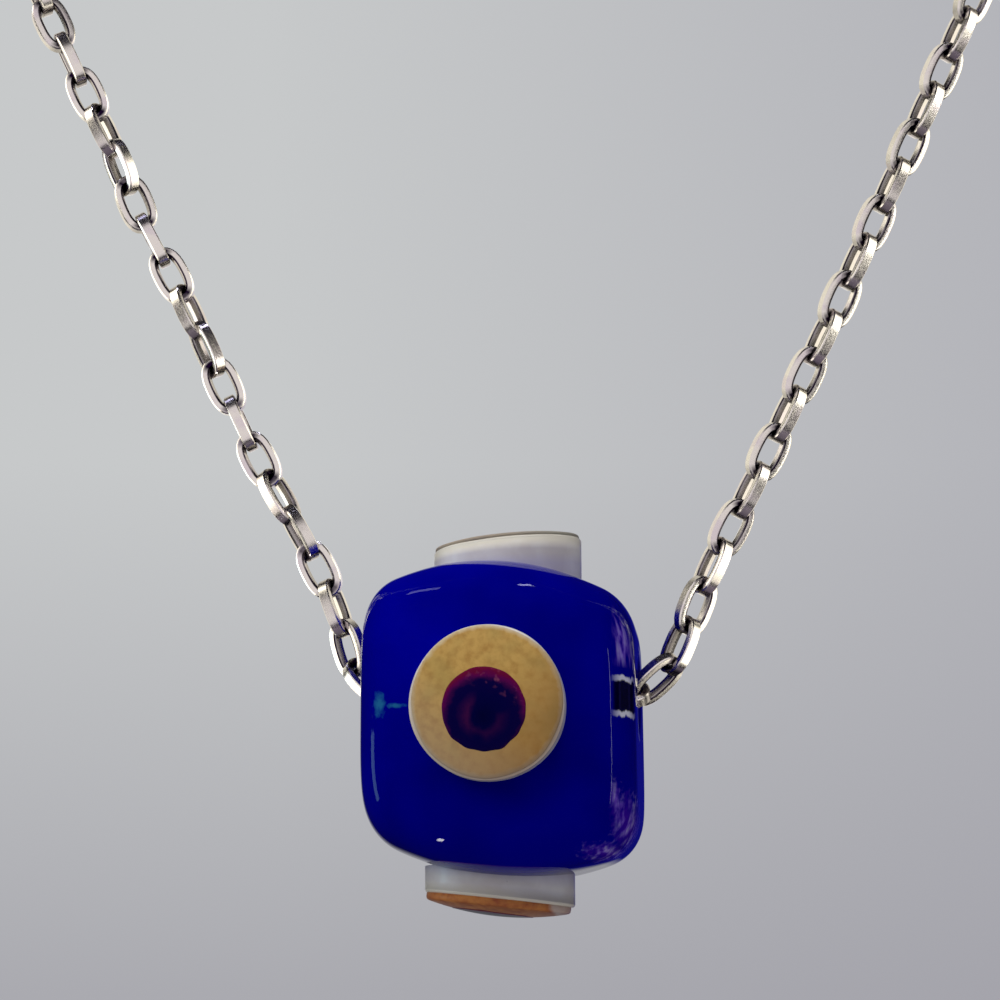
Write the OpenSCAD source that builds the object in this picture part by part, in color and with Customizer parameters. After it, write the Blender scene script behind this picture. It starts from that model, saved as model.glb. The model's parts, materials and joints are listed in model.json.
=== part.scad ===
// Evil eye bead necklace: a drilled cushion of cobalt glass with four raised eyes, strung on a
// silver chain of oval links that closes with a ring clasp. The bead hangs at the bottom of the
// loop with its hole along X. The origin is under the clasp, where the nape or a peg carries it.

/* [Bead] */
// Width of the bead, along its hole
bead_w = 10.4; // [9.6:0.1:13]
// Height of the bead between the crowns of its top and bottom
bead_h = 12.1; // [11:0.1:15]
// Depth of the bead between the crowns of its front and back
bead_d = 12.1; // [11:0.1:15]
// Radius of the long crown across each of the four faces
crown_r = 10; // [9:0.5:30]
// Radius of the corner between a crown and an end
corner_r = 2.1; // [0.8:0.1:2.4]
// Squareness of the bead seen along its hole, where 2 is round
squareness = 4; // [2.5:0.1:6]
// Slope of the handmade top and bottom, down towards the right
bead_lean = 3.5; // [0:0.5:6]
// How much wider the bottom is than the top
extra_bottom_w = 0.2; // [0:0.05:0.6]

/* [Hole] */
// Diameter of the hole
hole_d = 1.66; // [1.66:0.02:2.2]
// Radius of the melted lip at the right mouth of the hole
lip_right_r = 1; // [0.8:0.1:1.4]
// Radius of the wider melted lip at the left mouth
lip_left_r = 1.8; // [1.6:0.1:2]
// How far the hole lies above the middle of the bead
hole_rise = 0.95; // [0:0.05:1]
// How far the bead has slid to the left along the chain
bead_slid = 0.28; // [0.1:0.01:0.5]

/* [Eyes] */
// Diameter of an eye's white base
eye_d = 5.8; // [4.5:0.1:6.4]
// How deep the base is sunk below the crown
eye_sink = 0.6; // [0.5:0.05:1]
// Width of the white rim round the ochre cap
eye_rim = 0.1; // [0.1:0.02:0.5]
// Share of a cap's height that is at its rim, under the dome
rim_share = 0.4; // [0.3:0.05:0.6]
// Diameter of the dark pupil
pupil_d = 3.1; // [2:0.1:3.8]
// Share of a cap's height that its pupil goes down
pupil_share = 0.55; // [0.45:0.05:0.8]
// Gap between one glass and the next
glass_gap = 0.03; // [0.02:0.01:0.06]

/* [Chain] */
// Length of a link outside
link_l = 2.34; // [2.3:0.02:2.6]
// Width of a link outside
link_w = 1.42; // [1.3:0.02:1.42]
// Thickness of the link's wire, from its inner side to its ground outer flat
wire = 0.24; // [0.2:0.01:0.26]
// Height of the link's wire, square to the plane of the link
wire_h = 0.34; // [0.28:0.02:0.36]
// Width of the flat that is ground on the outer side of the wire
flat_w = 0.24; // [0.12:0.02:0.26]
// Clear gap between the wires of two links on a straight run
joint_gap = 0.2; // [0.18:0.01:0.24]
// Most that the closed necklace measures round
necklace_l = 400; // [340:5:405]
// Angle of each side of the chain from upright
side_angle = 25; // [15:1:35]
// Radius of the chain's bend at the mouth of the hole
bend_r = 2.1; // [2:0.1:2.4]
// How far beyond half the bead's width a side of the chain would meet the hole's axis
side_out = 0.41; // [0.3:0.01:0.6]

/* [Clasp] */
// Outside diameter of the clasp's ring
clasp_d = 6; // [5:0.1:8]
// Thickness of the clasp's tube
clasp_t = 1.2; // [0.8:0.1:1.6]
// Outside diameter of the clasp's eye
clasp_eye_d = 2; // [1.8:0.1:2.6]
// Outside diameter of the jump ring
jump_d = 3.6; // [3.4:0.1:5]
// Wire of the clasp's eye and of the jump ring
ring_wire = 0.5; // [0.4:0.05:0.6]
// Clear gap where rings hook into each other
hook_gap = 0.15; // [0.12:0.01:0.3]

/* [Hidden] */

// Sides round the bead, and rings along each crown and each corner
bead_sides = 48;
crown_rings = 7;
corner_rings = 6;
// Rings of a cap's dome
dome_rings = 8;
// Length by which a cutting tool runs past what it cuts
over = 1;

// One row for each eye. turn: about X, from the top. out: half of the bead that way. along, across:
// shift of the eye on its side of the bead. rise: height of the base over the crown, at its middle.
// tilt: slope of its face, higher towards +X. cap_h: height of the cap's middle over the base.
// cap_x, cap_y: shift of the cap on the base. pupil_x, pupil_y: shift of the pupil on the cap.
TURN = 0;
OUT = 1;
ALONG = 2;
ACROSS = 3;
RISE = 4;
TILT = 5;
CAP_H = 6;
CAP_X = 7;
CAP_Y = 8;
PUPIL_X = 9;
PUPIL_Y = 10;
//          turn  out         along  across rise  tilt cap_h cap_x  cap_y  pupil_x pupil_y
TOP    = [   0,   bead_h / 2, 0.13,  0,     0.85, 5,   0.3,  0,     0,     0.1,    -0.1];
FRONT  = [  90,   bead_d / 2, -0.13, 0.22,  0.75, 0,   0.5,  0.02,  0.02,  -0.09,  -0.3];
BOTTOM = [ 180,   bead_h / 2, -0.25, 0,     0.75, 6.3, 0.6,  -0.03, 0,     -0.2,   0.1];
BACK   = [ 270,   bead_d / 2, 0.1,   0.1,   0.75, 3,   0.45, -0.03, 0.02,  0.15,   0.1];

// Roll of the link planes along each side of the chain, by the link's number from the bead.
// The left side is twisted. The hidden rest of the chain turns evenly from the last row to the clasp.
RIGHT_ROLLS = [[0, 45], [3, 45], [7, 28], [24, 28]];
LEFT_ROLLS = [[0, 45], [3, 45], [6, 5], [9, -88], [11, -95], [14, -184], [16, -195], [19, -274],
    [24, -304]];

// Handmade sway of each side of the chain from its straight run towards the bead, by joint number
RIGHT_SWAY = [[4, 0], [5, 0.05], [6, 0.13], [7, 0.13], [8, 0.05], [10, -0.05], [13, -0.12], [18, -0.1],
    [24, 0]];
LEFT_SWAY = [[3, 0], [4, 0.05], [5, 0.3], [6, 0.45], [7, 0.4], [8, 0.27], [9, 0.15], [10, 0.08],
    [14, 0.1], [16, -0.06], [18, 0.08], [20, 0.06], [24, 0]];

cap_d = eye_d - 2 * eye_rim;
pitch = link_l - 2 * wire - joint_gap;
// How far a link's bow wire reaches past the joint point that it shares with the next link
bow_reach = (wire + joint_gap) / 2;

// The clasp runs from the joint point of the right side's last link to that of the left side's
eye_ring_r = (clasp_eye_d - ring_wire) / 2;
jump_r = (jump_d - ring_wire) / 2;
hooked = ring_wire / 2 + wire / 2 + hook_gap - bow_reach;
clasp_eye_x = eye_ring_r - hooked;
clasp_x = clasp_eye_x + eye_ring_r + clasp_d / 2;
jump_x = clasp_x + clasp_d / 2 - clasp_t - ring_wire / 2 - hook_gap + jump_r;
closure = jump_x + jump_r - hooked;

// The chain's route on the right side: along the hole, round the bend, up the side, round the top
links_per_side = floor((necklace_l - closure) / 2 / pitch);
side_turn = 90 - side_angle;
top_turn = 90 + side_angle;
bend_start = bead_w / 2 + side_out - bend_r * tan(side_turn / 2);
bend_end = bend_start + arc(bend_r, side_turn);
side_x = bend_start + bend_r * sin(side_turn);
side_z = bend_r * (1 - cos(side_turn));
// Length of arc that each unit of half width adds at the top
top_share = arc(1, top_turn) / sin(side_turn);
side_l = (links_per_side * pitch + closure / 2 - bend_end - side_x * top_share)
    / (1 + cos(side_turn) * top_share);
side_end = bend_end + side_l;
top_r = (side_x + side_l * cos(side_turn)) / sin(side_turn);
top_z = side_z + side_l * sin(side_turn) + top_r * cos(side_turn);
hole_z = -(top_z + top_r + clasp_d / 2);
bead_x = -bead_slid;
bead_z = hole_z - hole_rise;

// Length of an arc, and the angle that an arc length turns through
function arc(r, angle) = r * angle * PI / 180;
function arc_angle(r, length) = length / r * 180 / PI;

// Place on the right side's route at a length from the middle of the hole, as [x, z over the hole]
function route(s) =
    s < bend_start ? [s, 0] :
    s < bend_end ? let (a = arc_angle(bend_r, s - bend_start))
        [bend_start + bend_r * sin(a), bend_r * (1 - cos(a))] :
    s < side_end ? [side_x + (s - bend_end) * cos(side_turn), side_z + (s - bend_end) * sin(side_turn)] :
    let (a = side_turn + arc_angle(top_r, s - side_end)) [top_r * sin(a), top_z - top_r * cos(a)];

// Joint point where links k - 1 and k of a side meet
function joint(k, sway) = route(k * pitch) + lookup(k, sway) * [-sin(side_turn), cos(side_turn)];

// Roll of a link, with the last link of the side brought square to the ring that it hooks into
function roll(rolls, k, last) =
    let (row = rolls[len(rolls) - 1], share = (k - row[0]) / (links_per_side - 1 - row[0]))
    k <= row[0] ? lookup(k, rolls) : row[1] + (last - row[1]) * share;

// The bead's outline from the middle of a crown to the edge of its end, as [x, inset]
function bead_outline() =
    let (h = bead_h / 2, a = bead_w / 2 - corner_r, turn = asin(a / (crown_r - corner_r)),
        corner_z = h - crown_r + (crown_r - corner_r) * cos(turn))
    concat(
        [for (i = [0 : crown_rings]) let (t = turn * i / crown_rings)
            [crown_r * sin(t), crown_r * (1 - cos(t))]],
        [for (i = [1 : corner_rings]) let (t = turn + (90 - turn) * i / corner_rings)
            [a + corner_r * sin(t), h - corner_z - corner_r * cos(t)]]);

// Signed power that squares the bead's section
function squared(v) = sign(v) * pow(abs(v), 2 / squareness);

// One ring of the bead's skin, leaned and flared as the handmade bead is
function bead_ring(x, inset) = [
    for (i = [0 : bead_sides - 1])
        let (t = 360 * i / bead_sides, z = (bead_h / 2 - inset) * squared(sin(t)))
        [x * (1 - z / bead_h * extra_bottom_w / bead_w), (bead_d / 2 - inset) * squared(cos(t)),
            z - x * tan(bead_lean)]
];

// Solid bead without its hole and pockets, about its own middle
module bead_form() {
    half = bead_outline();
    last = len(half) - 1;
    rings = concat([for (i = [last : -1 : 1]) bead_ring(-half[i][0], half[i][1])],
        [for (i = [0 : last]) bead_ring(half[i][0], half[i][1])]);
    n = bead_sides;
    walls = [for (j = [0 : len(rings) - 2], i = [0 : n - 1]) let (a = j * n + i, b = j * n + (i + 1) % n)
        each [[a, a + n, b + n], [a, b + n, b]]];
    ends = [[for (i = [0 : n - 1]) i], [for (i = [n - 1 : -1 : 0]) (len(rings) - 1) * n + i]];
    polyhedron(points = [for (ring = rings) each ring], faces = concat(walls, ends), convexity = 4);
}

// Wall of one half of the hole, out from its middle over the lip, as [radius, length along the hole]
function hole_wall(lip_r) = concat(
    [for (a = [0 : 15 : 90]) [hole_d / 2 + lip_r * (1 - cos(a)), bead_w / 2 - lip_r * (1 - sin(a))]],
    [[hole_d / 2 + lip_r, bead_w / 2 + over], [0, bead_w / 2 + over]]);

// Cutting tool for the hole, straight inside and rounded out at each mouth
module hole_tool() {
    left = hole_wall(lip_left_r);
    rotate([0, 90, 0]) rotate_extrude($fn = 72) polygon(concat(
        [for (i = [len(left) - 1 : -1 : 0]) [left[i][0], -left[i][1]]], hole_wall(lip_right_r)));
}

// Turns what stands on +Z to an eye's own side of the bead, with the crown at z = 0
module on_side(eye) {
    translate([bead_x, 0, bead_z]) rotate([eye[TURN], 0, 0])
        translate([eye[ALONG], eye[ACROSS], eye[OUT]]) children();
}

// Puts a cap or pupil on the sloping face of its base
module on_face(eye) {
    on_side(eye) translate([0, 0, eye[RISE]]) rotate([0, -eye[TILT], 0])
        translate([eye[CAP_X], eye[CAP_Y], glass_gap]) children();
}

// White drum that stands out of the glass and slopes at its outer face
module eye_base(eye) {
    reach = 2 * eye_d;
    color("ivory") on_side(eye) intersection() {
        translate([0, 0, glass_gap - eye_sink]) cylinder(d = eye_d, h = reach, $fn = 72);
        translate([0, 0, eye[RISE]]) rotate([0, -eye[TILT], 0]) translate([0, 0, -reach / 2])
            cube(reach, center = true);
    }
}

// Domed disc of a cap, of a height at its middle
module dome(cap_h) {
    r = cap_d / 2;
    rise = cap_h * (1 - rim_share);
    dome_r = (r * r + rise * rise) / 2 / rise;
    edge = asin(r / dome_r);
    crown = [for (i = [0 : dome_rings]) let (a = edge * (1 - i / dome_rings))
        [dome_r * sin(a), cap_h - dome_r * (1 - cos(a))]];
    rotate_extrude($fn = 72) polygon(concat([[0, 0], [r, 0]], crown));
}

// Puts what stands on z = 0 in a cap at the pupil's place and depth
module at_pupil(eye) {
    translate([eye[PUPIL_X], eye[PUPIL_Y], eye[CAP_H] * (1 - pupil_share)]) children();
}

// Ochre cap with a round seat for the pupil
module eye_cap(eye) {
    color("darkgoldenrod") on_face(eye) difference() {
        dome(eye[CAP_H]);
        at_pupil(eye) translate([0, 0, -glass_gap]) cylinder(d = pupil_d + 2 * glass_gap, h = over, $fn = 72);
    }
}

// Dark pupil, flush with the dome of its cap
module eye_pupil(eye) {
    color("indigo") on_face(eye) intersection() {
        dome(eye[CAP_H]);
        at_pupil(eye) cylinder(d = pupil_d, h = over, $fn = 72);
    }
}

// Cobalt glass body with its hole and a flat-floored pocket under each eye
module bead_glass() {
    color("mediumblue") difference() {
        translate([bead_x, 0, bead_z]) bead_form();
        translate([bead_x, 0, hole_z]) hole_tool();
        for (eye = [TOP, FRONT, BOTTOM, BACK])
            on_side(eye) translate([0, 0, -eye_sink])
                cylinder(d = eye_d + 2 * glass_gap, h = eye_sink + over, $fn = 72);
    }
}

module eye_front_base() { eye_base(FRONT); }
module eye_front_cap() { eye_cap(FRONT); }
module eye_front_pupil() { eye_pupil(FRONT); }
module eye_top_base() { eye_base(TOP); }
module eye_top_cap() { eye_cap(TOP); }
module eye_top_pupil() { eye_pupil(TOP); }
module eye_back_base() { eye_base(BACK); }
module eye_back_cap() { eye_cap(BACK); }
module eye_back_pupil() { eye_pupil(BACK); }
module eye_bottom_base() { eye_base(BOTTOM); }
module eye_bottom_cap() { eye_cap(BOTTOM); }
module eye_bottom_pupil() { eye_pupil(BOTTOM); }

// Six-sided section of the wire, with its ground flat towards +X and a narrow inner side
module wire_section() {
    t = wire / 2;
    outer = flat_w / 2;
    inner = outer / 2;
    polygon([[t, -outer], [t, outer], [0, wire_h / 2], [-t, inner], [-t, -inner], [0, -wire_h / 2]]);
}

// Oval link, long along X and flat in XY, with the ground flat of its wire outside
module link() {
    bow_r = (link_w - wire) / 2;
    bar_l = link_l - link_w;
    for (end = [0, 180]) rotate([0, 0, end]) {
        translate([bar_l / 2, 0, 0]) rotate([0, 0, -90]) rotate_extrude(angle = 180, $fn = 24)
            translate([bow_r, 0]) wire_section();
        translate([0, bow_r, 0]) rotate([90, 0, 90]) linear_extrude(bar_l, center = true) wire_section();
    }
}

// Half of the chain, from the middle of the bead's hole to the clasp. Side is 1 or -1 along X.
module chain(side, rolls, sway, first, last) {
    color("silver") translate([0, 0, hole_z])
        for (k = [0 : links_per_side - 1]) {
            from = joint(k, sway);
            to = joint(k + 1, sway);
            slope = atan2(to[1] - from[1], side * (to[0] - from[0]));
            translate([side * (from[0] + to[0]) / 2, 0, (from[1] + to[1]) / 2])
                rotate([0, -slope, 0])
                rotate([side * (roll(rolls, k, last) + 90 * ((k + first) % 2)), 0, 0]) link();
        }
}

// Ring of round wire about Z
module ring(d, t) {
    rotate_extrude($fn = 48) translate([(d - t) / 2, 0]) circle(d = t, $fn = 16);
}

// The last link on the right lies across the clasp's eye, and the last on the left across the jump ring
module chain_right() { chain(1, RIGHT_ROLLS, RIGHT_SWAY, 0, 90 * ((links_per_side - 1) % 2)); }
module chain_left() { chain(-1, LEFT_ROLLS, LEFT_SWAY, 1, 90 * ((links_per_side - 1) % 2)); }

// Places a ring of the clasp at its distance from the right side's last joint point
module at_clasp(x) {
    translate([closure / 2 - x, 0, -clasp_d / 2]) children();
}

// Closed ring clasp in one plain piece: its ring and the small eye that the chain holds
module clasp() {
    color("silver") {
        at_clasp(clasp_x) rotate([90, 0, 0]) ring(clasp_d, clasp_t);
        at_clasp(clasp_eye_x) rotate([90, 0, 0]) ring(clasp_eye_d, ring_wire);
    }
}

// Plain closed ring at the left end of the chain
module jump_ring() {
    color("silver") at_clasp(jump_x) ring(jump_d, ring_wire);
}

bead_glass();
eye_front_base();
eye_front_cap();
eye_front_pupil();
eye_top_base();
eye_top_cap();
eye_top_pupil();
eye_back_base();
eye_back_cap();
eye_back_pupil();
eye_bottom_base();
eye_bottom_cap();
eye_bottom_pupil();
chain_right();
chain_left();
clasp();
jump_ring();
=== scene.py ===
"""Looks of the evil eye bead necklace: lampwork glass bead, inlaid eyes and ground silver chain."""

import json
import logging
import math
from collections.abc import Callable, Mapping
from dataclasses import dataclass, field
from enum import Enum
from functools import partial

import bpy
import numpy as np
from mathutils import Matrix, Quaternion, Vector


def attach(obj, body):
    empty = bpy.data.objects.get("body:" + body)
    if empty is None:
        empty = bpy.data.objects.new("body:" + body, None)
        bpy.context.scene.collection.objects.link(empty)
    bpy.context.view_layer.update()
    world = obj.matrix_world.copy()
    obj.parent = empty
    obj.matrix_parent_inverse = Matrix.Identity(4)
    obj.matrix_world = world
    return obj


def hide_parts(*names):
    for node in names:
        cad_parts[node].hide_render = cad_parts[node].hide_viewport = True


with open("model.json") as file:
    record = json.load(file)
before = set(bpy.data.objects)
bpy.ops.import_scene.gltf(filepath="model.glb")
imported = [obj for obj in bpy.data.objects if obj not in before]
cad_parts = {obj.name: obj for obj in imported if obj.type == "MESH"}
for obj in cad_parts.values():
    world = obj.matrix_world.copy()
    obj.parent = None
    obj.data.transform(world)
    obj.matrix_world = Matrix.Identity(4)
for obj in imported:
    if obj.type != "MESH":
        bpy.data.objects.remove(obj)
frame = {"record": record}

LOG = logging.getLogger("necklace")
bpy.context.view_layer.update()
MM = 0.001
# An eye's face is mapped so that this many millimetres fill the whole UV square
FACE_UV_MM = 8.0
FACE_UV = "face"
# A drum is mapped by its place across (0 to 1) and by half the depth in mm under its face
DRUM_UV = "drum"
# A link's wire is mapped by how far inside the link and how near the tip of its bow a point lies
WIRE_UV = "wire"

Material = bpy.types.Material
Piece = bpy.types.Object
Socket = bpy.types.NodeSocket
Outputs = Mapping[str | int, Socket]
# add_node for one material or world
Adder = Callable[..., Outputs]
Quads = list[tuple[int, ...]]
# Place and sRGB hex colour of each stop of a colour ramp, in order
Stops = tuple[tuple[float, str], ...]
# Place along X and Z of each spot, and half its width and height
Spots = tuple[tuple[float, float, float, float], ...]


class Side(Enum):
    """The two halves of the chain, by their direction along X from the bead."""

    RIGHT = 1
    LEFT = -1


# Colours and nodes


def linear(hex_code: str) -> tuple[float, float, float, float]:
    """Turns an sRGB hex colour into Blender's linear colour.

    Args:
        hex_code: Six hex digits, such as "c8a45a".

    Returns:
        Linear red, green and blue, and an alpha of 1.
    """
    parts = [int(hex_code[i : i + 2], 16) / 255 for i in (0, 2, 4)]
    rgb = [c / 12.92 if c <= 0.04045 else ((c + 0.055) / 1.055) ** 2.4 for c in parts]
    return (rgb[0], rgb[1], rgb[2], 1.0)


def add_node(
    tree: bpy.types.NodeTree, kind: str, inputs: dict | tuple = (), stops: Stops = (), **settings: object
) -> Outputs:
    """Adds one node with its settings, constants and links.

    A Mix node of colours has its share at socket 0, its colours at 6 and 7, and its result at output 2.

    Args:
        tree: The material's or the world's node tree.
        kind: Blender's name for the node type, without "ShaderNode", and its operation after a colon.
        inputs: Values by socket name or number, or in the sockets' order. Each is the output to link
            from, an sRGB hex colour or another constant.
        stops: The stops of a colour ramp.
        settings: Properties of the node itself.

    Returns:
        The node's outputs.
    """
    kind, _, operation = kind.partition(":")
    node = tree.nodes.new("ShaderNode" + kind)
    if operation:
        node.operation = operation
    for name, value in settings.items():
        setattr(node, name, value)
    for name, value in inputs.items() if isinstance(inputs, dict) else enumerate(inputs):
        if isinstance(value, Socket):
            tree.links.new(value, node.inputs[name])
        else:
            node.inputs[name].default_value = linear(value) if isinstance(value, str) else value
    if stops:
        elements = node.color_ramp.elements
        while len(elements) < len(stops):
            elements.new(0.5)
        for element, (place, colour) in zip(elements, stops):
            element.position, element.color = place, linear(colour)
    return node.outputs


def new_material(name: str) -> tuple[Material, Adder]:
    """Makes an empty node material.

    Args:
        name: The material's name.

    Returns:
        The material, and the function that adds a node to it.
    """
    material = bpy.data.materials.new(name)
    material.use_nodes = True
    material.node_tree.nodes.clear()
    return material, partial(add_node, material.node_tree)


def row_place(add: Adder) -> Socket:
    """Place in the row frame in millimetres."""
    return add("VectorMath:MULTIPLY", (add("TexCoord")["Object"], (1 / MM,) * 3))[0]


def face_place(add: Adder) -> Socket:
    """Place on an eye's face in millimetres from its middle."""
    middle = add("VectorMath:SUBTRACT", (add("UVMap", uv_map=FACE_UV)[0], (0.5, 0.5, 0)))[0]
    return add("VectorMath:MULTIPLY", (middle, (FACE_UV_MM,) * 3))[0]


# Meshes


def new_piece(
    name: str,
    points: np.ndarray,
    faces: Quads,
    material: Material,
    uv_name: str = "",
    uv: np.ndarray | None = None,
    sharp: float = 180.0,
) -> Piece:
    """Makes a smooth-shaded mesh object from points in millimetres.

    Args:
        name: Name of the object.
        points: Points in the row frame, one row each.
        faces: Corner numbers of each face.
        material: Its only material.
        uv_name: Name of its UV map.
        uv: UV of each point, one row each.
        sharp: Angle in degrees above which an edge stays sharp.

    Returns:
        The object, linked into the scene.
    """
    mesh = bpy.data.meshes.new(name)
    mesh.from_pydata((points * MM).tolist(), [], faces)
    mesh.materials.append(material)
    mesh.shade_smooth()
    if sharp < 180:
        mesh.set_sharp_from_angle(angle=math.radians(sharp))
    if uv is not None:
        layer = mesh.uv_layers.new(name=uv_name)
        corner_points = np.empty(len(mesh.loops), dtype=np.int32)
        mesh.loops.foreach_get("vertex_index", corner_points)
        layer.data.foreach_set("uv", uv[corner_points].ravel())
    piece = bpy.data.objects.new(name, mesh)
    bpy.context.scene.collection.objects.link(piece)
    return piece


def strip_faces(rows: int, columns: int, close_rows: bool = False) -> Quads:
    """Numbers the quads of a grid of points whose columns close into rings.

    Args:
        rows: Number of rings.
        columns: Points in each ring.
        close_rows: True where the last ring joins the first.

    Returns:
        The corner numbers of each quad.
    """
    return [
        (a * columns + i, a * columns + j, b * columns + j, b * columns + i)
        for a in range(rows if close_rows else rows - 1)
        for b in [(a + 1) % rows]
        for i in range(columns)
        for j in [(i + 1) % columns]
    ]


def repeated(faces: Quads, points: int, times: int) -> Quads:
    """Faces of a number of like forms in one mesh, each with so many points."""
    return [tuple(k * points + i for i in face) for k in range(times) for face in faces]


def round_angles(steps: int) -> np.ndarray:
    """Angles of even steps once round."""
    return np.linspace(0, 2 * math.pi, steps, endpoint=False)


def transformed(points: np.ndarray, matrix: Matrix) -> np.ndarray:
    """Moves points, one row each, by a 4 by 4 matrix."""
    m = np.array(matrix)
    return points @ m[:3, :3].T + m[:3, 3]


def turned(axis: str, degrees: float) -> Matrix:
    """Rotation about one axis, in degrees."""
    return Matrix.Rotation(math.radians(degrees), 4, axis)


# Finishes


@dataclass(frozen=True)
class CobaltGlass:
    """Cobalt soda-lime glass, fire-polished at the lamp.

    Clouded with pigment, so that the body reads as a deep even blue. Lilac patches at the right end are
    painted light coming through the thin skin there, a clear window shows the chain in the right mouth,
    with painted navy shade about it and two pale lines of painted highlight, and a teal spot is painted
    daylight from the left mouth. Its reflections are weak and small.
    """

    # Middle of the bead, and the hole's height above it, in millimetres
    middle: Vector
    hole_rise: float
    pale: str = "0000a4"
    deep: str = "00008a"
    cloud_mm: float = 4.5
    ior: float = 1.52
    gloss: float = 0.1
    roughness: float = 0.02
    # Share of light that goes on into the clouded body, and through the window
    body_clear: float = 0.12
    window_clear: float = 0.97
    # Light lost in each millimetre of glass, for red, green and blue
    loss: tuple[float, float, float] = (0.35, 0.5, 0.08)
    # The flame leaves long soft waves, which break up the edges of reflections
    wave_mm: float = 2.6
    wave_depth_mm: float = 0.012
    # Dust and finger marks dull the polish here and there
    dust_mm: float = 0.35
    # Where the right end starts, from the bead's middle along the hole, and where it is full
    end_mm: tuple[float, float] = (4.35, 4.7)
    # The patches and the window reach back from the front face's corner: where they stop and are full
    corner_mm: tuple[float, float] = (-3.6, -4.3)
    # Streaks of painted light run along the rim of the right end, a few tenths of a millimetre apart
    streak_mm: float = 0.5
    # Colours of the painted light that comes through the thin skin at the right end
    lilac_light: Stops = ((0.42, "4210b4"), (0.53, "7a54da"), (0.68, "b6a6ee"))
    # Heights above the window between which the upper patches of painted light lie
    light_patch_band_mm: tuple[float, float] = (1.15, 3.6)
    # Lower patches of painted light on the front half
    low_light_patches_mm: Spots = ((4.8, -4.1, 0.55, 1.15), (4.45, -3.3, 0.2, 0.8), (4.0, -5.15, 0.9, 0.35))
    # Half the window's height. It lies on the front skin, seen from below, so lower than the hole.
    window_mm: float = 0.6
    window_drop_mm: float = 0.38
    clear: str = "645ce6"
    shade: str = "000046"
    # Pale lines of painted highlight where the hole's wall turns the light
    highlight_line: str = "f2f2ff"
    glow: str = "2a7fa8"
    glows_mm: Spots = ((-4.28, 0.35, 0.26, 0.5), (-3.65, 0.27, 0.45, 0.1))
    # Grain and strength of the noise that frays a spot's edge, and the reach, with that noise, at
    # which the spot ends and is full. Its plain edge is at about 1.8.
    fray_mm: float = 0.2
    fray: float = 1.6
    spot_edge: tuple[float, float] = (1.9, 0.9)

    def spots(self, add: Adder, local: Socket, fraying: Socket, rows: Spots, most: float) -> Socket:
        """Share of the skin that frayed oval spots take, seen from the front.

        Args:
            add: Adds a node to the glass.
            local: Place from the bead's middle.
            fraying: Noise that frays the spots' edges.
            rows: The spots.
            most: The share in the middle of a spot.

        Returns:
            The share.
        """
        total: Socket | float = 0.0
        for x, z, wide, tall in rows:
            spot = add("VectorMath:SUBTRACT", (local, (x, 0, z)))[0]
            flat = add("VectorMath:MULTIPLY", (spot, (1 / wide, 0, 1 / tall)))[0]
            reach = add("VectorMath:LENGTH", (flat,))["Value"]
            frayed = add("Math:MULTIPLY_ADD", (fraying, self.fray, reach))[0]
            share = add("MapRange", (frayed, *self.spot_edge, 0.0, most))[0]
            total = add("Math:MAXIMUM", (total, share))[0]
        return total

    def colour(self, add: Adder, place: Socket) -> tuple[Socket, Socket]:
        """Colour of the body with its glow, patches and window.

        Args:
            add: Adds a node to the glass.
            place: Place in the row frame.

        Returns:
            The colour, and the share by which the glass is clear.
        """
        clouds = add("TexNoise", {"Vector": place, "Scale": 1 / self.cloud_mm, "Detail": 2.0})["Fac"]
        colour = add("ValToRGB", (clouds,), stops=((0.35, self.deep), (0.65, self.pale)))["Color"]
        local = add("VectorMath:SUBTRACT", (place, tuple(self.middle)))[0]
        axes = add("SeparateXYZ", (local,))
        height = add("Math:ADD", (axes["Z"], self.window_drop_mm - self.hole_rise))[0]
        fraying = add("TexNoise", {"Vector": place, "Scale": 1 / self.fray_mm, "Detail": 3.0})["Fac"]
        glows = self.spots(add, local, fraying, self.glows_mm, 0.75)
        right = add("MapRange", (axes["X"], *self.end_mm))[0]
        corner = add("MapRange", (axes["Y"], *self.corner_mm))[0]
        end = add("Math:MULTIPLY", (right, corner))[0]
        upright = add("VectorMath:MULTIPLY", (place, (1.7, 1.7, 0.4)))[0]
        streaks = add("TexNoise", {"Vector": upright, "Scale": 1 / self.streak_mm, "Detail": 4.0})["Fac"]
        # Upper patches of painted light where the streaks are strong, and lower ones on the front half alone
        low, high = self.light_patch_band_mm
        off_band = add("Math:ABSOLUTE", (add("Math:SUBTRACT", (height, (low + high) / 2))[0],))[0]
        half = (high - low) / 2
        upper = end
        for share in (
            add("MapRange", (streaks, 0.4, 0.56))[0],
            add("MapRange", (off_band, half + 0.1, half - 0.35, 0.0, 0.85))[0],
        ):
            upper = add("Math:MULTIPLY", (upper, share))[0]
        lower = self.spots(add, local, fraying, self.low_light_patches_mm, 0.9)
        front = add("MapRange", (axes["Y"], -0.6, -1.4))[0]
        lower = add("Math:MULTIPLY", (lower, front))[0]
        # Painted light through the thin skin, in lilac
        lilac_light = add("ValToRGB", (streaks,), stops=self.lilac_light)["Color"]
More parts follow.
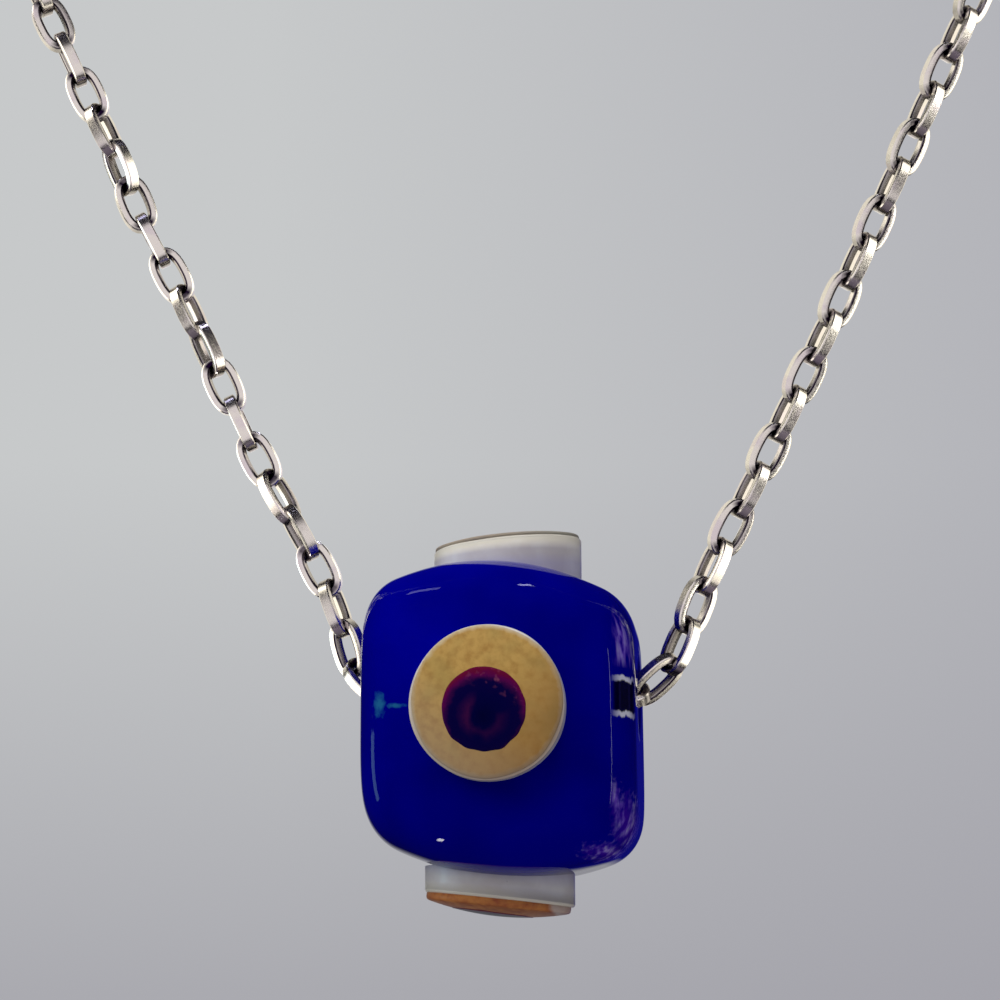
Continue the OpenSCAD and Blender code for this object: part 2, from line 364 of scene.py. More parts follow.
        # Window at the right mouth, between two pale lines of painted highlight where the hole's wall turns
        # the light. The streaks make the distance from it wavy, and longer by a quarter of a millimetre.
        from_hole = add("Math:ABSOLUTE", (height,))[0]
        wavy = add("Math:MULTIPLY_ADD", (streaks, 0.5, from_hole))[0]
        near_hole = add("MapRange", (wavy, self.window_mm + 0.25, self.window_mm + 0.13))[0]
        window = add("Math:MULTIPLY", (end, near_hole))[0]
        off_line = add("Math:ABSOLUTE", (add("Math:SUBTRACT", (wavy, self.window_mm + 0.3))[0],))[0]
        highlight_line = add("MapRange", (off_line, 0.14, 0.07, 0.0, 0.95))[0]
        for share, coat in (
            (glows, self.glow),
            (add("Math:MAXIMUM", (upper, lower))[0], lilac_light),
            (add("MapRange", (window, 0.05, 0.4))[0], self.shade),
            (add("Math:MULTIPLY", (end, highlight_line))[0], self.highlight_line),
            (add("MapRange", (window, 0.75, 1.0))[0], self.clear),
        ):
            colour = add("Mix", {0: share, 6: colour, 7: coat}, data_type="RGBA")[2]
        return colour, window

    def material(self) -> Material:
        """Builds the glass, clouded at its skin and absorbing inside.

        Returns:
            The material.
        """
        material, add = new_material("cobalt_lampwork_glass_fire_polished")
        place = row_place(add)
        colour, window = self.colour(add, place)
        waves = add("TexNoise", {"Vector": place, "Scale": 1 / self.wave_mm, "Detail": 1.5})["Fac"]
        dust = add("TexNoise", {"Vector": place, "Scale": 1 / self.dust_mm, "Detail": 4.0})["Fac"]
        skin = {
            "Base Color": colour,
            "Transmission Weight": add("MapRange", (window, 0.0, 1.0, self.body_clear, self.window_clear))[0],
            "IOR": self.ior,
            "Specular IOR Level": self.gloss,
            "Roughness": add("MapRange", (dust, 0.55, 0.8, self.roughness, self.roughness * 6))[0],
            "Normal": add("Bump", {"Height": waves, "Distance": self.wave_depth_mm * MM, "Strength": 0.6})[0],
        }
        most = max(self.loss)
        inside = {"Color": (*[1 - loss / most for loss in self.loss], 1.0), "Density": most / MM}
        add(
            "OutputMaterial",
            {"Surface": add("BsdfPrincipled", skin)[0], "Volume": add("VolumeAbsorption", inside)[0]},
        )
        return material


@dataclass(frozen=True)
class OpaqueGlass:
    """Opaque glass of an eye's white drum, fire-polished.

    Milk-white body with a wet gloss, faint cream clouds and a few specks of soot from the flame.
    Yellow glass has run over its rim, and the blue's light in its foot is painted as a lilac tint.
    """

    name: str
    # The glass that has run over the rim, its share there, and how much of it is on the upper side
    run_over: str = "cda468"
    stain: float = 0.45
    least: float = 0.2
    # Lilac of painted light where the blue shines into the drum's foot
    foot: str = "a9a4e0"
    body: str = "f1eeea"
    cloud: str = "dfd8d5"
    soot: str = "15101c"
    cloud_mm: float = 1.4
    # About the distance from one speck to the next
    soot_mm: float = 1.1

    def material(self) -> Material:
        """Builds the white glass.

        Returns:
            The material.
        """
        material, add = new_material(f"{self.name}_opal_glass_fire_polished")
        place = row_place(add)
        clouds = add("TexNoise", {"Vector": place, "Scale": 1 / self.cloud_mm, "Detail": 3.0})["Fac"]
        colour = add("ValToRGB", (clouds,), stops=((0.35, self.cloud), (0.65, self.body)))["Color"]
        specks = add("TexVoronoi", {"Vector": place, "Scale": 1 / self.soot_mm})["Distance"]
        drum = add("SeparateXYZ", (add("UVMap", uv_map=DRUM_UV)[0],))
        ragged = add("Math:MULTIPLY_ADD", (clouds, 0.12, drum["Y"]))[0]
        near_rim = add("MapRange", (ragged, 0.3, 0.16, 0.0, self.stain))[0]
        below = add("MapRange", (drum["X"], 0.75, 0.3, self.least, 1.0))[0]
        for share, coat in (
            (add("MapRange", (specks, 0.05, 0.085, 0.8, 0.0))[0], self.soot),
            (add("Math:MULTIPLY", (near_rim, below))[0], self.run_over),
            # Painted light: the blue shines into the foot, more the deeper under the face
            (add("MapRange", (ragged, 0.4, 0.6, 0.0, 0.3))[0], self.foot),
        ):
            colour = add("Mix", {0: share, 6: colour, 7: coat}, data_type="RGBA")[2]
        skin = {
            "Base Color": colour, "Roughness": 0.25, "IOR": 1.5, "Specular IOR Level": 0.3,
            "Subsurface Weight": 0.15, "Subsurface Radius": (1.0, 0.9, 0.8), "Subsurface Scale": 0.4 * MM,
        }
        add("OutputMaterial", {"Surface": add("BsdfPrincipled", skin)[0]})
        return material


@dataclass(frozen=True)
class OchreGlass:
    """Ochre stringer glass melted into a dome.

    Honey yellow, mottled where the rod was wound, greener in its thick middle, and paler at its rim,
    where the white drum shines through. Painted shade makes it browner to the lower right and duller
    to the lower left.
    """

    name: str = "ochre"
    light: str = "d8ae60"
    deep: str = "c2944c"
    # Painted shade, browner, to the lower right
    tan: str = "a2703e"
    green: str = "a39455"
    rim: str = "d6c6a6"
    # Painted shade, duller, on the side away from the light
    shade_tone: str = "b39c86"
    mottle_mm: float = 0.32
    cloud_mm: float = 1.82
    # How far the colour's middle lies along from the dome's, and how much nearer its rim is across
    shift_mm: float = 0.0
    across: float = 1.0
    # Where the paler rim starts and is full, with an eighth of a millimetre for the mottle
    rim_mm: tuple[float, float] = (2.74, 2.92)

    def material(self) -> Material:
        """Builds the mottled yellow glass.

        Returns:
            The material.
        """
        material, add = new_material(f"{self.name}_opaque_glass_fire_polished")
        place = face_place(add)
        spot = row_place(add)
        mottle = add("TexNoise", {"Vector": spot, "Scale": 1 / self.mottle_mm, "Detail": 4.0})["Fac"]
        colour = add("ValToRGB", (mottle,), stops=((0.3, self.deep), (0.6, self.light)))["Color"]
        cloud = add("TexNoise", {"Vector": place, "Scale": 1 / self.cloud_mm, "Detail": 2.0})["Fac"]
        shifted = add("VectorMath:SUBTRACT", (place, (self.shift_mm, 0, 0)))[0]
        pressed = add("VectorMath:MULTIPLY", (shifted, (1, self.across, 1)))[0]
        reach = add("VectorMath:LENGTH", (pressed,))["Value"]
        # Painted shade: browner to the lower right, away from the light, in blotches
        aside = add("VectorMath:DOT_PRODUCT", (place, (0.8, -0.6, 0)))["Value"]
        # Painted shade: a duller tone on the side away from the light
        away = add("VectorMath:DOT_PRODUCT", (place, (-0.6, -0.8, 0)))["Value"]
        for value, start, full, most, coat in (
            (cloud, 0.5, 0.72, 0.45, self.green),
            (add("Math:MULTIPLY_ADD", (mottle, 0.25, reach))[0], *self.rim_mm, 0.85, self.rim),
            (add("Math:MULTIPLY_ADD", (mottle, 2.4, aside))[0], 1.4, 3.6, 0.5, self.tan),
            (away, 0.3, 2.6, 0.5, self.shade_tone),
        ):
            share = add("MapRange", (value, start, full, 0.0, most))[0]
            colour = add("Mix", {0: share, 6: colour, 7: coat}, data_type="RGBA")[2]
        skin = {
            "Base Color": colour, "Roughness": 0.4, "IOR": 1.5, "Specular IOR Level": 0.25,
            "Normal": add("Bump", {"Height": mottle, "Distance": 0.01 * MM, "Strength": 0.5})[0],
        }
        add("OutputMaterial", {"Surface": add("BsdfPrincipled", skin)[0]})
        return material


@dataclass(frozen=True)
class PupilGlass:
    """Dark glass dot melted into the ochre.

    Nearly black navy inside with a faint wine-red ring, and a broken maroon border with a few pink
    flecks where the two glasses ran into each other.
    """

    # Colours from the core to the border, by their share of the dot's reach
    bands: Stops = (
        (0.0, "000036"), (0.26, "000040"), (0.5, "020044"), (0.76, "0a0044"), (0.84, "3c0648"),
        (0.9, "5c0650"), (0.96, "6a0644"), (1.0, "700c38"),
    )
    # Share of the wine-red ring, in grey
    ring: Stops = (
        (0.24, "000000"), (0.36, "ffffff"), (0.48, "a0a0a0"), (0.6, "000000"),
    )
    wine: str = "4a1048"
    pink: str = "9c4c68"
    reach_mm: float = 1.705
    warp_mm: float = 0.42
    grain_mm: float = 0.42
    gap_mm: float = 1.3
    fleck_mm: float = 0.34
    # The dark core lies off the dot's middle
    core_mm: tuple[float, float, float] = (0.0, -0.26, 0.0)

    def material(self) -> Material:
        """Builds the ringed dark glass.

        Returns:
            The material.
        """
        material, add = new_material("maroon_and_navy_glass_fire_polished")
        place = face_place(add)
        rough = {"Vector": place, "Scale": 1 / self.grain_mm, "Detail": 5.0, "Roughness": 0.65}
        grain = add("VectorMath:SUBTRACT", (add("TexNoise", rough)["Color"], (0.5,) * 3))[0]
        warped = add("VectorMath:MULTIPLY_ADD", (grain, (self.warp_mm,) * 3, place))[0]
        from_core = add("VectorMath:SUBTRACT", (warped, self.core_mm))[0]
        flat = add("VectorMath:MULTIPLY", (from_core, (1, 1, 0)))[0]
        reach = add("VectorMath:LENGTH", (flat,))["Value"]
        out = add("Math:DIVIDE", (reach, self.reach_mm))[0]
        colour = add("ValToRGB", (out,), stops=self.bands)["Color"]
        # The ring is broken, but whole on the left
        gaps = add("TexNoise", {"Vector": place, "Scale": 1 / self.gap_mm, "Detail": 1.0})["Fac"]
        arcs = add("MapRange", (gaps, 0.46, 0.58, 0.0, 0.35))[0]
        leftward = add("VectorMath:DOT_PRODUCT", (place, (-1.0, 0.1, 0)))["Value"]
        left_arc = add("MapRange", (leftward, 0.25, 0.6, 0.0, 0.8))[0]
        whole = add("Math:MAXIMUM", (arcs, left_arc))[0]
        # The flecks lie at the upper right
        flecks = add("TexNoise", {"Vector": place, "Scale": 1 / self.fleck_mm, "Detail": 2.0})["Fac"]
        bright = add("MapRange", (flecks, 0.56, 0.68, 0.0, 0.6))[0]
        upper = add("VectorMath:DOT_PRODUCT", (place, (0.45, 0.9, 0)))["Value"]
        for where, strength, coat in (
            (add("ValToRGB", (out,), stops=self.ring)["Color"], whole, self.wine),
            (add("MapRange", (upper, 0.55, 1.25))[0], bright, self.pink),
        ):
            share = add("Math:MULTIPLY", (where, strength))[0]
            colour = add("Mix", {0: share, 6: colour, 7: coat}, data_type="RGBA")[2]
        skin = {"Base Color": colour, "Roughness": 0.3, "IOR": 1.5, "Specular IOR Level": 0.1}
        add("OutputMaterial", {"Surface": add("BsdfPrincipled", skin)[0]})
        return material


@dataclass(frozen=True)
class GroundSilver:
    """Sterling silver wire with diamond-ground flats.

    Bright warm white on the flats, with fine grinding lines. Inside the links and at their bows it is
    purple-black: tarnish, where no cloth reaches, and painted shade where the links lie in each other.
    """

    bright: str = "fbf6ea"
    worn: str = "efe6e4"
    tarnish_and_shade: str = "1d0c2a"
    # Purple-black of tarnish and of painted shade inside the links and at their bows
    roughness: float = 0.22
    # Real grinding lines are about 0.01 mm apart: drawn six times as coarse, so that they show
    line_mm: float = 0.06
    stain_mm: float = 0.7
    # Share of tarnish and painted shade round the wire, in grey: outside and sides shine, and the inner
    # side is dark, but rubbed by the next link in its middle
    inside: Stops = (
        (0.58, "000000"), (0.66, "ffffff"), (0.76, "ffffff"), (0.88, "b8b8b8"),
    )

    def material(self) -> Material:
        """Builds the silver.

        Returns:
            The material.
        """
        material, add = new_material("sterling_silver_diamond_ground")
        place = row_place(add)
        stain = add("TexNoise", {"Vector": place, "Scale": 1 / self.stain_mm, "Detail": 3.0})["Fac"]
        worn = add("ValToRGB", (stain,), stops=((0.35, self.worn), (0.5, self.bright)))["Color"]
        wire = add("SeparateXYZ", (add("UVMap", uv_map=WIRE_UV)[0],))
        across = add("Clamp", (wire["X"],))[0]
        inside = add("ValToRGB", (across,), stops=self.inside)["Color"]
        # Tarnish and painted shadow at the bows' tips, where the next link lies
        tip = add("MapRange", (wire["Y"], 0.72, 0.92))[0]
        side = add("MapRange", (across, 0.15, 0.35, 0.45, 1.0))[0]
        at_tip = add("Math:MULTIPLY", (tip, side))[0]
        tarnish_and_shade_share = add("Math:MAXIMUM", (inside, at_tip))[0]
        broken = add("MapRange", (stain, 0.3, 0.5, 0.75, 1.0))[0]
        amount = add("Math:MULTIPLY", (tarnish_and_shade_share, broken))[0]
        lines = add("TexNoise", {"Vector": place, "Scale": 1 / self.line_mm, "Detail": 2.0})["Fac"]
        low, high = self.roughness * 0.85, self.roughness * 1.3
        metal = {
            "Base Color": add("Mix", {0: amount, 6: worn, 7: self.tarnish_and_shade}, data_type="RGBA")[2],
            "Metallic": 1.0,
            "Roughness": add("MapRange", (lines, 0.3, 0.75, low, high))[0],
        }
        add("OutputMaterial", {"Surface": add("BsdfPrincipled", metal)[0]})
        return material


@dataclass(frozen=True)
class MattPaper:
    """Uncoated backdrop paper from a roll: pale grey without gloss, with faint clouds of fibres."""

    clouds: Stops = ((0.3, "bfc1c4"), (0.7, "c8cacc"))
    # Real fibres are too fine to show: drawn as clouds of this size
    fibre_mm: float = 4.0

    def material(self) -> Material:
        """Builds the paper.

        Returns:
            The material.
        """
        material, add = new_material("matt_paper_backdrop")
        fibre = add("TexNoise", {"Vector": row_place(add), "Scale": 1 / self.fibre_mm, "Detail": 4.0})["Fac"]
        colour = add("ValToRGB", (fibre,), stops=self.clouds)["Color"]
        skin = {"Base Color": colour, "Roughness": 0.9}
        add("OutputMaterial", {"Surface": add("BsdfPrincipled", skin)[0]})
        return material


# The bead


@dataclass
class Bead:
    """Cushion of cobalt glass with its hole, in millimetres, as part.scad gives it."""

    width: float = 10.4
    height: float = 12.1
    depth: float = 12.1
    crown_r: float = 10.0
    corner_r: float = 2.1
    squareness: float = 4.0
    lean: float = 3.5
    flare: float = 0.2
    slid: float = 0.28
    hole_rise: float = 0.95
    hole_d: float = 1.56
    lips: dict[Side, float] = field(default_factory=lambda: {Side.RIGHT: 1.0, Side.LEFT: 1.8})
    sides: int = 240
    crown_rings: int = 30
    corner_rings: int = 14
    lip_rings: int = 14
    # Shares of the way from an end's edge to its lip, and through the hole, at which rings lie
    end_shares: tuple[float, ...] = (0.12, 0.3, 0.5, 0.7, 0.88, 1.0)
    hole_shares: tuple[float, ...] = (0.25, 0.5, 0.75)
    # The lamp-worker's hand: how far the skin wanders from the plain form, and the height of each of
    # its waves, their number round the bead, their twist along it and their start
    wander: float = 0.035
    waves: tuple[tuple[float, float, float, float], ...] = (
        (1.0, 2, 0.45, 0.6), (0.6, 5, -0.8, 0.0), (0.5, 1, 1.3, 0.0),
    )

    def __post_init__(self) -> None:
        """Places the bead by the joint that it turns about, which lies in the hole's axis."""
        joint = frame["record"]["behaviour"]["joints"][0]
        self.hole_z = joint["pos_m"][2] / MM
        self.middle = Vector((-self.slid, 0.0, self.hole_z - self.hole_rise))

    def outline(self) -> list[tuple[float, float]]:
        """Half of the outline from the middle of a crown to the end.

        Returns:
            Place along X and depth below the crown's top, for each ring.
        """
        inner = self.crown_r - self.corner_r
        a = self.width / 2 - self.corner_r
        turn = math.asin(a / inner)
        rings = [
            (self.crown_r * math.sin(t), self.crown_r * (1 - math.cos(t)))
            for t in np.linspace(0, turn, self.crown_rings + 1)
        ]
        drop = self.crown_r - inner * math.cos(turn)
        rings += [
            (a + self.corner_r * math.sin(t), drop - self.corner_r * math.cos(t))
            for t in np.linspace(turn, math.pi / 2, self.corner_rings + 1)[1:]
        ]
        return rings

    def skin_ring(self, x: float, inset: float) -> np.ndarray:
        """One ring of the leaned and flared skin, about the bead's middle.

        Args:
            x: Place along the hole.
            inset: Depth below the crown's top.

        Returns:
            The ring's points.
        """
        angle = round_angles(self.sides)
        c, s, n = np.cos(angle), np.sin(angle), self.squareness
        reach = (np.abs(c) ** n + np.abs(s) ** n) ** (-1 / n)
        wave = sum(tall * np.sin(k * angle + twist * x + start) for tall, k, twist, start in self.waves)
        fade = min(1.0, (self.width / 2 - abs(x)) / self.corner_r)
        reach = reach * (1 - self.wander * fade * (wave + 2) / self.height)
        y = (self.depth / 2 - inset) * reach * c
        z = (self.height / 2 - inset) * reach * s
        x_flared = x * (1 - z / self.height * self.flare / self.width)
        return np.stack([x_flared, y, z - x * math.tan(math.radians(self.lean))], axis=1)

    def end_rings(self, side: Side) -> list[np.ndarray]:
        """Rings from the edge of an end, over its melted lip and into the hole.

        Args:
            side: The end.

        Returns:
            Rings of points about the bead's middle, from outside to inside.
        """
        lip, bore_r = self.lips[side], self.hole_d / 2
        edge = self.skin_ring(side.value * self.width / 2, self.outline()[-1][1])
        axis = np.array([0, self.hole_rise])
        out = edge[:, 1:] - axis
        reach = np.hypot(out[:, 0], out[:, 1])
        # Where the end is narrow, the lip stays inside it
        wide = np.minimum(lip, 0.93 * reach - bore_r)

        def hole_ring(radius: np.ndarray, x: float) -> np.ndarray:
            """Ring of the hole at a radius for each side and a distance from the bead's middle."""
            around = axis + out / reach[:, None] * radius[:, None]
            return np.column_stack([np.full(self.sides, side.value * x), around])

        mouth = hole_ring(bore_r + wide, self.width / 2)
        rings = [edge + (mouth - edge) * share for share in self.end_shares]
        rings += [
            hole_ring(bore_r + wide * (1 - math.sin(t)), self.width / 2 - lip * (1 - math.cos(t)))
            for t in np.linspace(0, math.pi / 2, self.lip_rings + 1)[1:]
        ]
        return rings

    def build(self, glass: Material) -> Piece:
        """Builds the glass body as one closed skin with its hole.

        Args:
            glass: The cobalt glass.

        Returns:
            The bead.
        """
        half = self.outline()
        rings = [self.skin_ring(-x, inset) for x, inset in reversed(half[1:])]
        rings += [self.skin_ring(x, inset) for x, inset in half]
        right, left = self.end_rings(Side.RIGHT), self.end_rings(Side.LEFT)
        rings += right + [right[-1] + (left[-1] - right[-1]) * share for share in self.hole_shares]
        rings += left[::-1]
        points = np.concatenate(rings) + np.array(self.middle)
        return new_piece("glass_body", points, strip_faces(len(rings), self.sides, close_rows=True), glass)


# The eyes


class Face(Enum):
    """The four sides of the bead that carry an eye, by their turn about X from the top."""

    TOP = 0
    FRONT = 90
    BOTTOM = 180
    BACK = 270


@dataclass
class Eye:
    """One raised eye: white drum, ochre dome and dark dot, in millimetres.

    along and across shift it on its side of the bead, rise and tilt give the drum's face over the
    crown, cap_h is the height of the dome's middle, cap and dot are the shifts of the two on the drum.
    """

    bead: Bead
    face: Face
    along: float
    across: float
    rise: float
    tilt: float
    cap_h: float
    cap: tuple[float, float]
    dot: tuple[float, float]
    seed: int
    drum_r: float = 2.9
    sink: float = 0.6
    cap_r: float = 2.8
    rim_share: float = 0.4
    dot_r: float = 1.55
    # Melted edges of the drum and the dome, and the drum's room in its pocket
    edge_r: float = 0.14
    soft: float = 0.06
    room: float = 0.03
    # The dot's skin stands this far over the dome, and its hem reaches this far into it
    proud: float = 0.012
    hem: float = 0.2
    # Radius of the small ring that ends a turned face at its middle
    tip_r: float = 0.001
    # How far each piece's handmade outline wanders, and the number of its wave lengths
    drum_hand: tuple[float, int] = (0.03, 5)
    dome_hand: tuple[float, int] = (0.03, 7)
    dot_hand: tuple[float, int] = (0.05, 14)
    sides: int = 128
    edge_rings: int = 7
    dome_rings: int = 22
    dot_rings: int = 16
    # Shares of the drum's wall at which rings lie
    wall_shares: tuple[float, ...] = (0.0, 0.35, 0.7)

    def __post_init__(self) -> None:
        """Names the eye, and splits the cap's height into its rim and its dome."""
        self.name = f"{self.face.name.lower()}_eye"
        self.cap_rim = self.cap_h * self.rim_share
        self.cap_dome = self.cap_h - self.cap_rim

    def side_matrix(self) -> Matrix:
        """Turns what stands on +Z to this eye's side of the bead, with the crown at z = 0."""
        out = (self.bead.depth if self.face in (Face.FRONT, Face.BACK) else self.bead.height) / 2
        return (
            Matrix.Translation(self.bead.middle) @ turned("X", self.face.value)
            @ Matrix.Translation((self.along, self.across, out))
        )

    def face_matrix(self) -> Matrix:
        """Puts a piece on the sloping face of the drum."""
        return (
            self.side_matrix() @ Matrix.Translation((0, 0, self.rise)) @ turned("Y", -self.tilt)
            @ Matrix.Translation((*self.cap, 0))
        )

    def uneven(self, amount: float, waves: int, stream: int) -> np.ndarray:
        """Uneven outline of a hand-made round piece.

        Args:
            amount: How far it wanders at most, in millimetres.
            waves: Number of wave lengths that are mixed.
            stream: Number that keeps the outlines of one eye's pieces apart.

        Returns:
            What is added to the radius at each side.
        """
        rng = np.random.default_rng(self.seed * 10 + stream)
        wave = np.zeros(self.sides)
        for n in range(2, 2 + waves):
            size = rng.normal() / math.sqrt(n)
            wave += size * np.sin(n * round_angles(self.sides) + rng.uniform(0, 2 * math.pi))
        return amount * wave / max(1e-6, np.abs(wave).max())

    def lathe(self, profile: list[tuple[float, float]], uneven: np.ndarray) -> np.ndarray:
        """Turns a profile into rings of points about Z.

        Args:
            profile: Radius and height of each ring, the last one at the middle.
            uneven: What is added to the radius at each side, in proportion to it.

        Returns:
            The points, ring by ring.
        """
        angle = round_angles(self.sides)
        most = max(r for r, _ in profile)
        rings = []
        for r, z in profile:
            reach, level = r + uneven * r / most, np.full(self.sides, z)
            rings.append(np.column_stack([reach * np.cos(angle), reach * np.sin(angle), level]))
        return np.concatenate(rings)

    def faces(self, rings: list) -> Quads:
        """Faces of a turned piece with so many rings."""
        return strip_faces(len(rings), self.sides)

    def drum(self, white: Material) -> Piece:
        """Builds the white drum with a melted edge.

        Args:
            white: The white glass.

        Returns:
            The drum.
        """
        r = self.drum_r - self.room
        edge = [
            (r - self.edge_r * (1 - math.cos(t)), -self.edge_r * (1 - math.sin(t)))
            for t in np.linspace(0, math.pi / 2, self.edge_rings)
        ]
        # Rings of the wall, of the melted edge and of the flat face
        wall = len(self.wall_shares)
        profile = [(r, 0.0)] * (wall + 1) + edge + [(r * 0.8, 0), (r * 0.4, 0), (self.tip_r, 0)]
        points = self.lathe(profile, self.uneven(*self.drum_hand, 1))
        face_z = self.rise + points[:, 0] * math.tan(math.radians(self.tilt))
        points[:, 2] += face_z
        # The wall stands between its level foot in the pocket and the sloping face
        low = -self.sink + self.room
        for row, share in enumerate(self.wall_shares):
            ring = slice(row * self.sides, (row + 1) * self.sides)
            points[ring, 2] = low + (points[ring, 2] - self.edge_r - low) * share
        points[wall * self.sides : (wall + 1) * self.sides, 2] -= self.edge_r
        uv = np.column_stack([points[:, 1] / self.drum_r / 2 + 0.5, (face_z - points[:, 2]) / 2])
        points = transformed(points, self.side_matrix())
        return new_piece(f"{self.name}_drum", points, self.faces(profile), white, DRUM_UV, uv)

    def dome_z(self, reach: np.ndarray | float) -> np.ndarray | float:
        """Height of the dome at a distance from its middle."""
        ball = (self.cap_r**2 + self.cap_dome**2) / 2 / self.cap_dome
        return self.cap_rim + self.cap_dome - ball + np.sqrt(ball**2 - np.minimum(reach, self.cap_r) ** 2)

    def dome(self, ochre: Material) -> Piece:
        """Builds the ochre dome with a soft, uneven edge.

        Args:
            ochre: The ochre glass.

        Returns:
            The dome.
        """
        r, soft = self.cap_r, self.soft
        # From the hem under the rim, up the wall and over the soft edge, to the middle
        profile = [(r - soft, -0.02), (r, 0.0), (r, self.cap_rim * 0.45), (r - soft / 4, self.cap_rim * 0.8)]
        profile += [(r - soft, float(self.dome_z(r - soft)) - 0.012)]
        profile += [(q, float(self.dome_z(q))) for q in np.linspace(r - 0.16, self.tip_r, self.dome_rings)]
        points = self.lathe(profile, self.uneven(*self.dome_hand, 2))
        uv = points[:, :2] / FACE_UV_MM + 0.5
        points = transformed(points, self.face_matrix())
        return new_piece(f"{self.name}_dome", points, self.faces(profile), ochre, FACE_UV, uv)

    def dark_dot(self, dark: Material) -> Piece:
        """Builds the dark dot, melted flush into the dome, with a ragged edge.

        Args:
            dark: The dark glass.

        Returns:
            The dot.
        """
        shares = [1.0, 1.0, *np.linspace(0.985, 0.0005, self.dot_rings)]
        points = self.lathe([(self.dot_r * s, 0.0) for s in shares], self.uneven(*self.dot_hand, 3))
        uv = points[:, :2] / FACE_UV_MM + 0.5
        points[:, :2] += self.dot
        points[:, 2] = self.dome_z(np.hypot(points[:, 0], points[:, 1])) + self.proud
        points[: self.sides, 2] -= self.hem
        points[self.sides : 2 * self.sides, 2] -= self.proud
        points = transformed(points, self.face_matrix())
        return new_piece(f"{self.name}_dot", points, self.faces(shares), dark, FACE_UV, uv)


# The chain and its clasp


@dataclass
class Loop:
    """Route of the closed loop, in millimetres, with the sizes that part.scad gives it."""

    bead: Bead
    length: float = 400.0
    side_angle: float = 25.0
    bend_r: float = 2.1
    side_out: float = 0.41
    link_l: float = 2.34
    wire: float = 0.24
    joint_gap: float = 0.2
    clasp_d: float = 6.0
    clasp_t: float = 1.2
    clasp_eye_d: float = 2.0
    jump_d: float = 3.6
    ring_wire: float = 0.5
    hook_gap: float = 0.15
    # Handmade sway of each side from its straight run towards the bead, by joint number
    sway: dict[Side, list[tuple[int, float]]] = field(
        default_factory=lambda: {
            Side.RIGHT: [
                (4, 0), (5, 0.05), (6, 0.13), (7, 0.13), (8, 0.05), (10, -0.05), (13, -0.12), (18, -0.1),
                (24, 0),
            ],
            Side.LEFT: [
                (3, 0), (4, 0.05), (5, 0.3), (6, 0.45), (7, 0.4), (8, 0.27), (9, 0.15), (10, 0.08), (14, 0.1),
                (16, -0.06), (18, 0.08), (20, 0.06), (24, 0),
            ],
        }
    )

    def __post_init__(self) -> None:
        """Works out where the rings of the clasp lie, and the stretches of the route."""
        self.pitch = self.link_l - 2 * self.wire - self.joint_gap
        eye_r = (self.clasp_eye_d - self.ring_wire) / 2
        jump_r = (self.jump_d - self.ring_wire) / 2
        hooked = (self.ring_wire + self.wire) / 2 + self.hook_gap - (self.wire + self.joint_gap) / 2
        self.eye_x = eye_r - hooked
        self.clasp_x = self.eye_x + eye_r + self.clasp_d / 2
        inside_x = self.clasp_x + self.clasp_d / 2 - self.clasp_t
        self.jump_x = inside_x - self.ring_wire / 2 - self.hook_gap + jump_r
        self.closure = self.jump_x + jump_r - hooked
        self.links = int((self.length - self.closure) / 2 / self.pitch)
        self.turn = turn = math.radians(90 - self.side_angle)
        self.bend_start = self.bead.width / 2 + self.side_out - self.bend_r * math.tan(turn / 2)
        self.bend_end = self.bend_start + self.bend_r * turn
        self.side_x = self.bend_start + self.bend_r * math.sin(turn)
        self.side_z = self.bend_r * (1 - math.cos(turn))
        share = math.radians(90 + self.side_angle) / math.sin(turn)
        rest = self.links * self.pitch + self.closure / 2 - self.bend_end
        self.side_l = (rest - self.side_x * share) / (1 + math.cos(turn) * share)
        self.side_end = self.bend_end + self.side_l
        self.top_r = (self.side_x + self.side_l * math.cos(turn)) / math.sin(turn)
        self.top_z = self.side_z + self.side_l * math.sin(turn) + self.top_r * math.cos(turn)

    def place(self, s: float) -> Vector:
        """Place on the right side of the route.

        Args:
            s: Length from the middle of the hole.

        Returns:
            The place as X and Z, from the middle of the hole.
        """
        if s < self.bend_start:
            return Vector((s, 0))
        if s < self.bend_end:
            a = (s - self.bend_start) / self.bend_r
            return Vector((self.bend_start + self.bend_r * math.sin(a), self.bend_r * (1 - math.cos(a))))
        if s < self.side_end:
            on = s - self.bend_end
            return Vector((self.side_x + on * math.cos(self.turn), self.side_z + on * math.sin(self.turn)))
        a = self.turn + (s - self.side_end) / self.top_r
        return Vector((self.top_r * math.sin(a), self.top_z - self.top_r * math.cos(a)))

    def joint(self, side: Side, k: int) -> Vector:
        """Joint point where links k - 1 and k of a side meet.

        Args:
            side: The half of the chain.
            k: The joint's number from the middle of the hole.

        Returns:
            The place as X towards that side and Z, from the middle of the hole.
        """
        shift = float(np.interp(k, *zip(*self.sway[side])))
        return self.place(k * self.pitch) + shift * Vector((-math.sin(self.turn), math.cos(self.turn)))


